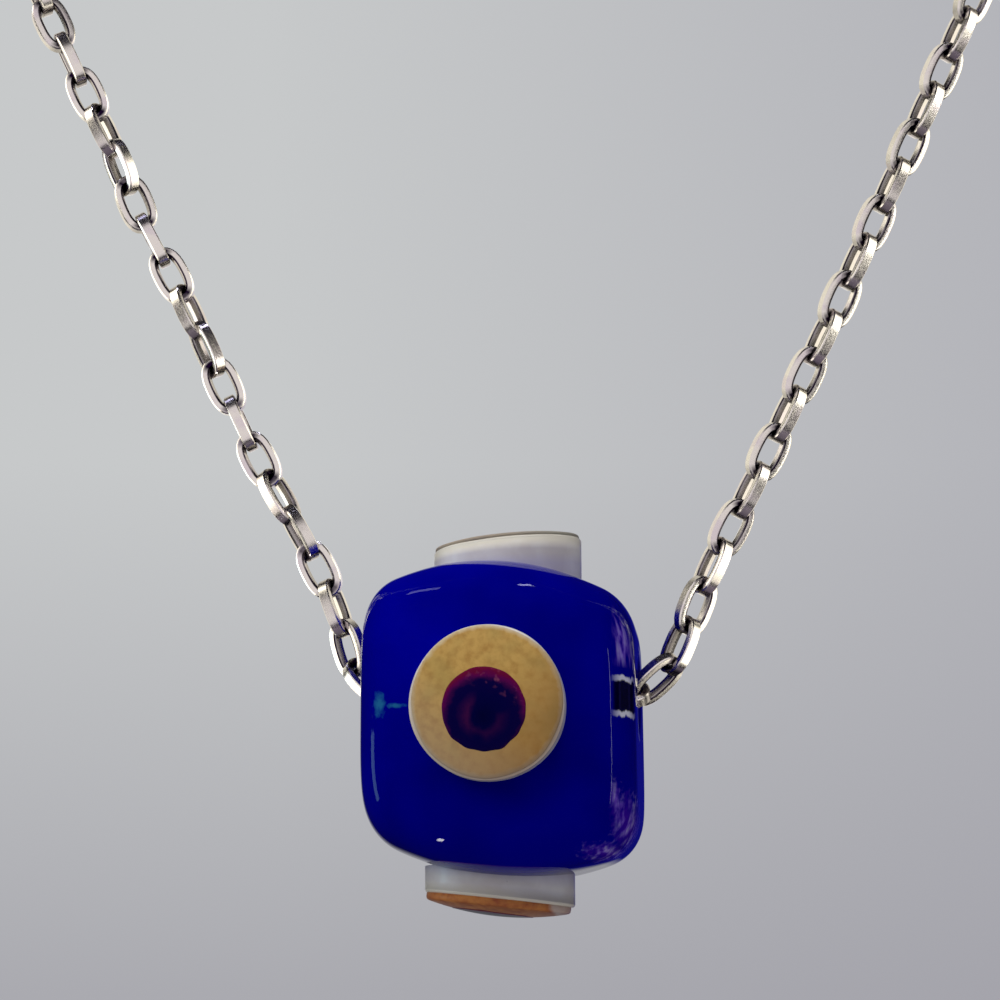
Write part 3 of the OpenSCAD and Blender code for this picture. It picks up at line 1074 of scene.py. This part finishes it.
@dataclass
class Chain:
    """Diamond-cut anchor chain: oval links of flat-sided wire that touch where they interlock."""

    loop: Loop
    width: float = 1.42
    # The wire across its ground flat, and square to the link's plane
    thick: float = 0.37
    tall: float = 0.46
    flat: float = 0.36
    # Power of the link's oval, where 2 is an ellipse, and steps round it
    oval: float = 2.6
    steps: int = 32
    # Angle between faces from which an edge of the ground wire is sharp
    sharp: float = 24.0
    # How far a hanging link may roll from its place, in degrees
    play: float = 4.0
    # Roll of the links' planes along each side, by the link's number from the bead
    rolls: dict[Side, list[tuple[int, float]]] = field(
        default_factory=lambda: {
            Side.RIGHT: [(0, 45), (3, 45), (7, 28), (24, 28)],
            Side.LEFT: [
                (0, 45), (3, 45), (6, 5), (9, -88), (11, -95), (14, -184), (16, -195), (19, -274), (24, -304),
            ],
        }
    )
    # Which side's link in the middle of the hole is turned a quarter round, so that the two interlock
    first: dict[Side, int] = field(default_factory=lambda: {Side.RIGHT: 0, Side.LEFT: 1})

    def section(self) -> np.ndarray:
        """Section of the wire: ground flat outside and on its sides, rounded inside.

        Returns:
            Points as distance outward from the wire's middle and height.
        """
        t, h, f = self.thick / 2, self.tall / 2, self.flat / 2
        upper = [(t, f), (0.75 * t, 0.96 * h), (0.5 * t, h), (-0.4 * t, h), (-0.75 * t, 0.75 * h)]
        return np.array(upper + [(-t, 0.0)] + [(x, -y) for x, y in reversed(upper)])[::-1]

    def link(self) -> tuple[np.ndarray, Quads, np.ndarray]:
        """One link, long along X and flat in XY.

        Returns:
            Its points, its faces, and for each point how far inside the link and how near the tip of
            a bow it lies, both from 0 to 1.
        """
        section = self.section()
        a, b, power = (self.loop.pitch + self.thick) / 2, (self.width - self.thick) / 2, self.oval
        rings, wire = [], []
        for t in round_angles(self.steps) + math.pi / self.steps:
            way = np.array([math.cos(t), math.sin(t)])
            x, y = (np.abs(way) ** power).sum() ** (-1 / power) * way
            out = np.array([
                math.copysign(abs(x) ** (power - 1) / a, x), math.copysign(abs(y) ** (power - 1) / b, y), 0
            ])
            out /= np.linalg.norm(out)
            centre = np.array([x * a, y * b, 0])
            rings.append(centre + section[:, :1] * out + section[:, 1:] * np.array([0, 0, 1.0]))
            wire.append(np.column_stack([0.5 - section[:, 0] / self.thick, np.full(len(section), abs(x))]))
        faces = strip_faces(len(rings), len(section), close_rows=True)
        return np.concatenate(rings), faces, np.concatenate(wire)

    def roll(self, side: Side, k: int) -> float:
        """Roll of a link's plane about the chain.

        Args:
            side: The half of the chain.
            k: The link's number from the bead.

        Returns:
            The angle in degrees. 90 stands the link in the plane of the loop.
        """
        rows = list(self.rolls[side])
        # Beyond the rows, the roll runs out evenly to the clasp
        last = self.loop.links - 1
        rows.append((last, 90 * (last % 2)))
        return side.value * (float(np.interp(k, *zip(*rows))) + 90 * ((k + self.first[side]) % 2))

    def build(self, side: Side, silver: Material) -> Piece:
        """Builds one half of the chain.

        Args:
            side: The half.
            silver: The silver.

        Returns:
            The half as one mesh of separate links.
        """
        link_points, link_faces, link_uv = self.link()
        rng = np.random.default_rng(3 + side.value)
        links, points = self.loop.links, []
        for k in range(links):
            start, end = self.loop.joint(side, k), self.loop.joint(side, k + 1)
            slope = math.degrees(math.atan2(end.y - start.y, side.value * (end.x - start.x)))
            middle = (start + end) / 2
            # The links in the bead and at the clasp have no play
            loose = float(rng.uniform(-self.play, self.play)) if 3 < k < links - 2 else 0.0
            matrix = (
                Matrix.Translation((side.value * middle.x, 0, self.loop.bead.hole_z + middle.y))
                @ turned("Y", -slope) @ turned("X", self.roll(side, k) + loose)
            )
            points.append(transformed(link_points, matrix))
        faces = repeated(link_faces, len(link_points), links)
        name, uv = f"links_{side.name.lower()}", np.tile(link_uv, (links, 1))
        return new_piece(name, np.concatenate(points), faces, silver, WIRE_UV, uv, self.sharp)


@dataclass
class Clasp:
    """Ring clasp and jump ring at the hidden back, with the wires thick enough to touch."""

    loop: Loop
    ring_steps: int = 96
    wire_steps: int = 24
    # The real rings lie on each other, so their wires are thicker by the solids' clearance
    thicker: float = 0.1

    def ring(self, outside_d: float, wire_d: float, x: float, flat: bool = False) -> np.ndarray:
        """Points of a ring of round wire in its place.

        Args:
            outside_d: Outside diameter of the ring.
            wire_d: Diameter of the wire.
            x: Distance from the right side's last joint.
            flat: True for a ring that lies flat, False for one in the plane of the loop.

        Returns:
            The points.
        """
        a = np.linspace(2 * math.pi, 0, self.wire_steps, endpoint=False)
        reach, z = (outside_d - wire_d) / 2 + wire_d / 2 * np.cos(a), wire_d / 2 * np.sin(a)
        rings = [
            np.column_stack([reach * math.cos(t), reach * math.sin(t), z])
            for t in round_angles(self.ring_steps)
        ]
        place = Matrix.Translation((self.loop.closure / 2 - x, 0, -self.loop.clasp_d / 2))
        return transformed(np.concatenate(rings), place if flat else place @ turned("X", 90))

    def build(self, silver: Material) -> list[Piece]:
        """Builds the clasp and the jump ring.

        Args:
            silver: The silver.

        Returns:
            The clasp and the jump ring.
        """
        loop, wire = self.loop, self.loop.ring_wire + self.thicker
        body = self.ring(loop.clasp_d, loop.clasp_t, loop.clasp_x)
        eye = self.ring(loop.clasp_eye_d, wire, loop.eye_x)
        jump = self.ring(loop.jump_d, wire, loop.jump_x, flat=True)
        pieces = []
        for name, rings in (("ring_clasp", [body, eye]), ("closed_jump_ring", [jump])):
            faces = strip_faces(self.ring_steps, self.wire_steps, close_rows=True)
            faces = repeated(faces, len(jump), len(rings))
            uv = np.zeros((len(rings) * len(jump), 2))
            pieces.append(new_piece(name, np.concatenate(rings), faces, silver, WIRE_UV, uv))
        return pieces


# Floor, light and camera


@dataclass
class Studio:
    """Pale floor, soft light and the photo's camera, in millimetres and degrees about the bead."""

    bead: Bead
    silver: list[Piece]
    floor_z: float = -330.0
    floor_radii: tuple[float, ...] = (1.0, 700.0, 2500.0)
    floor_sides: int = 64
    ground_left: str = "c7c9ca"
    ground_right: str = "adadb4"
    ground_low: str = "9f9ea6"
    # What the wall gives as ambient light, and what polished surfaces mirror of the room
    ambient: str = "8a8a90"
    room: str = "110d1a"
    screen: str = "12127c"
    azimuth: float = 4.75
    elevation: float = -8.58
    roll: float = -0.36
    distance: float = 127.0
    field_of_view: float = 17.478
    aim_x: float = -0.43
    aim_up: float = 8.72

    def floor(self) -> Piece:
        """Builds the pale floor.

        Returns:
            A wide disc of matt paper.
        """
        angle, sides = round_angles(self.floor_sides), self.floor_sides
        rings = [
            np.column_stack([r * np.cos(angle), r * np.sin(angle), np.full(sides, self.floor_z)])
            for r in self.floor_radii
        ]
        faces = strip_faces(len(rings), sides)
        piece = new_piece("paper_floor", np.concatenate(rings), faces, MattPaper().material())
        # The pale wall's even light takes its place under the necklace
        piece.visible_glossy = piece.visible_diffuse = False
        return piece

    def world(self) -> None:
        """Sets the pale ground all round, and what polished surfaces mirror instead.

        They mirror the ground behind them to the left, a deep blue screen behind them to the right,
        which keeps the glass blue up to its right edge, and a dark room elsewhere.
        """
        world = bpy.data.worlds.new("pale_room")
        bpy.context.scene.world = world
        world.use_nodes = True
        world.node_tree.nodes.clear()
        add = partial(add_node, world.node_tree)
        way = add("SeparateXYZ", (add("TexCoord")["Generated"],))
        across = add("MapRange", (way["X"], -0.15, 0.15))[0]
        wall = add("Mix", {0: across, 6: self.ground_left, 7: self.ground_right}, data_type="RGBA")[2]
        low = add("MapRange", (way["Z"], 0.0, 0.16, 0.75, 0.0))[0]
        ground = add("Mix", {0: low, 6: wall, 7: self.ground_low}, data_type="RGBA")[2]
        rightward = add("MapRange", (way["X"], -0.02, 0.02))[0]
        screened = add("Mix", {0: rightward, 6: ground, 7: self.screen}, data_type="RGBA")[2]
        depth = add("MapRange", (way["Y"], -1.0, 1.0))[0]
        aside = add("ValToRGB", (depth,), stops=((0.95, "ffffff"), (0.985, "000000")))["Color"]
        mirrored = add("Mix", {0: aside, 6: screened, 7: self.room}, data_type="RGBA")[2]
        ray = add("LightPath")
        spread = add("Mix", {0: ray["Is Diffuse Ray"], 6: ground, 7: self.ambient}, data_type="RGBA")[2]
        seen = add("Mix", {0: ray["Is Glossy Ray"], 6: spread, 7: mirrored}, data_type="RGBA")[2]
        add("OutputWorld", {"Surface": add("Background", {"Color": seen, "Strength": 1.0})[0]})

    def lamp(
        self,
        name: str,
        offset: tuple[float, float, float],
        size: tuple[float, float],
        glow: float,
        mirrored: bool = True,
        only: list[Piece] | None = None,
        tint: str = "ffffff",
        spin: float = 0.0,
    ) -> None:
        """Adds a soft box that faces the bead.

        Args:
            name: Name of the lamp.
            offset: Its place from the bead.
            size: Its width and height.
            glow: Its brightness, where the pale ground is about 0.5.
            mirrored: Whether polished pieces mirror it.
            only: The pieces that it lights, or None for all.
            tint: Its colour as an sRGB hex code.
            spin: Its turn about the way that it faces, in degrees.
        """
        light = bpy.data.lights.new(name, "AREA")
        light.shape = "RECTANGLE"
        light.size, light.size_y = size[0] * MM, size[1] * MM
        light.energy = glow * math.pi * light.size * light.size_y
        light.color = linear(tint)[:3]
        lamp = bpy.data.objects.new(name, light)
        bpy.context.scene.collection.objects.link(lamp)
        lamp.location = (self.bead.middle + Vector(offset)) * MM
        facing = (-Vector(offset)).to_track_quat("-Z", "Y")
        lamp.rotation_euler = (facing @ Quaternion((0, 0, 1), math.radians(spin))).to_euler()
        lamp.visible_camera = False
        lamp.visible_glossy = mirrored
        if only is not None:
            lit = bpy.data.collections.new(f"{name}_lights")
            for piece in only:
                lit.objects.link(piece)
            lamp.light_linking.receiver_collection = lit

    def lamps(self) -> None:
        """Places the soft boxes: broad ones for all, small ones for the glass, and the silver's own."""
        self.lamp("key_softbox", (-380, -300, 300), (330, 330), 2.6, mirrored=False)
        self.lamp("top_softbox", (-40, -160, 430), (420, 320), 2.1, mirrored=False)
        self.lamp("ceiling_strip", (-240, -60, 440), (135, 32), 5.5, tint="cfcfff", spin=33)
        self.lamp("ceiling_spot", (84, -60, 450), (62, 22), 22.0, tint="dcdcff", spin=-8)
        self.lamp("left_window", (-450, 30, -55), (80, 180), 3.2, tint="a8dcec")
        self.lamp("right_slit", (420, -180, 0), (12, 300), 6.0)
        self.lamp("floor_bounce", (0, -150, -400), (700, 500), 0.25, mirrored=False, tint="fff2e6")
        self.lamp("low_spot", (-215, -2, -410), (60, 14), 26.0)
        for name, offset, size, glow, tint in (
            ("silver_front", (0, -420, 0), (1000, 700), 0.8, "f0eaf0"),
            ("silver_left", (-420, -40, 0), (300, 760), 2.4, "fff9ec"),
            ("silver_right", (420, -40, 0), (300, 760), 2.0, "fff9ec"),
            ("silver_back", (0, 440, 60), (1500, 900), 0.8, "fff9ec"),
            ("silver_low", (0, -100, -430), (620, 420), 0.3, "c4b6cc"),
        ):
            self.lamp(name, offset, size, glow, only=self.silver, tint=tint)

    def camera(self) -> None:
        """Makes the camera at the photo's angle."""
        a, e = math.radians(self.azimuth), math.radians(self.elevation)
        back = Vector((math.sin(a) * math.cos(e), -math.cos(a) * math.cos(e), math.sin(e)))
        aim = Vector((self.aim_x, 0, self.bead.middle.z + self.aim_up))
        data = bpy.data.cameras.new("photo_camera")
        data.angle = math.radians(self.field_of_view)
        data.clip_start, data.clip_end = 1 * MM, 10.0
        camera = bpy.data.objects.new("photo_camera", data)
        bpy.context.scene.collection.objects.link(camera)
        camera.location = (aim + back * self.distance) * MM
        camera.rotation_mode = "QUATERNION"
        facing = (-back).to_track_quat("-Z", "Y")
        camera.rotation_quaternion = facing @ Quaternion((0, 0, 1), math.radians(self.roll))
        bpy.context.scene.camera = camera

    def build(self) -> None:
        """Builds the whole studio."""
        floor = self.floor()
        self.world()
        self.lamps()
        self.lamp("floor_softbox", (0, 0, 700), (3200, 3200), 0.7, mirrored=False, only=[floor])
        self.camera()
        bpy.context.scene.view_settings.view_transform = "Standard"


# Building order


def settle(piece: Piece, body: str, node: str) -> None:
    """Rides a piece on its body in place of its CAD node, and logs it.

    Args:
        piece: The piece.
        body: The body that it moves with.
        node: The CAD node that it stands for.
    """
    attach(piece, body)
    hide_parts(node)
    LOG.info("%s: %d faces for %s", piece.name, len(piece.data.polygons), node)


def main() -> None:
    """Builds the bead, its eyes, the chain, the clasp and the studio."""
    logging.basicConfig(level=logging.INFO, format="%(name)s: %(message)s")
    bead = Bead()
    glass = CobaltGlass(bead.middle, bead.hole_rise).material()
    settle(bead.build(glass), "bead", "bead_glass")
    stained = OpaqueGlass("ochre_rimmed_white").material()
    white = OpaqueGlass("cream_rimmed_white", run_over="ebe4cf", stain=0.8, least=1.0).material()
    ochre, dark = OchreGlass().material(), PupilGlass().material()
    # The top eye's dome, seen from below, has its side painted grey as shade, as the light falls from above
    shaded_top_ochre = OchreGlass("ochre_with_painted_grey_shade", rim="a8a699", tan="a8a699", rim_mm=(2.62, 2.82)).material()
    # The bottom eye's dome is a browner copy of the ochre, darkened further as painted shade under the bead
    amber_with_painted_shade = OchreGlass(
        "amber_with_painted_shade", light="d08648", deep="ae5e38", green="8a2e36", tan="9c5638", rim="d8cec4",
        shift_mm=-0.42, across=0.5,
    ).material()
    # Each eye's side, shifts, rise, tilt, cap height, shifts of cap and dot, and seed, with its glasses
    for eye, drum_glass, dome_glass in (
        (Eye(bead, Face.TOP, 0.13, 0, 0.85, 5, 0.3, (0, 0), (0.1, -0.1), 1), white, shaded_top_ochre),
        (Eye(bead, Face.FRONT, -0.13, 0.22, 0.75, 0, 0.5, (0.02, 0.02), (-0.09, -0.3), 2), stained, ochre),
        (Eye(bead, Face.BOTTOM, -0.25, 0, 0.75, 6.3, 0.6, (-0.03, 0), (-0.2, 0.1), 3), white, amber_with_painted_shade),
        (Eye(bead, Face.BACK, 0.1, 0.1, 0.75, 3, 0.45, (-0.03, 0.02), (0.15, 0.1), 4), stained, ochre),
    ):
        node = f"eye_{eye.face.name.lower()}"
        settle(eye.drum(drum_glass), "bead", f"{node}_base")
        settle(eye.dome(dome_glass), "bead", f"{node}_cap")
        settle(eye.dark_dot(dark), "bead", f"{node}_pupil")
    loop = Loop(bead)
    chain = Chain(loop)
    silver = GroundSilver().material()
    metal = {f"chain_{side.name.lower()}": chain.build(side, silver) for side in Side}
    metal["clasp"], metal["jump_ring"] = Clasp(loop).build(silver)
    for node, piece in metal.items():
        settle(piece, "necklace", node)
    Studio(bead, list(metal.values())).build()


if __name__ == "__main__":
    main()
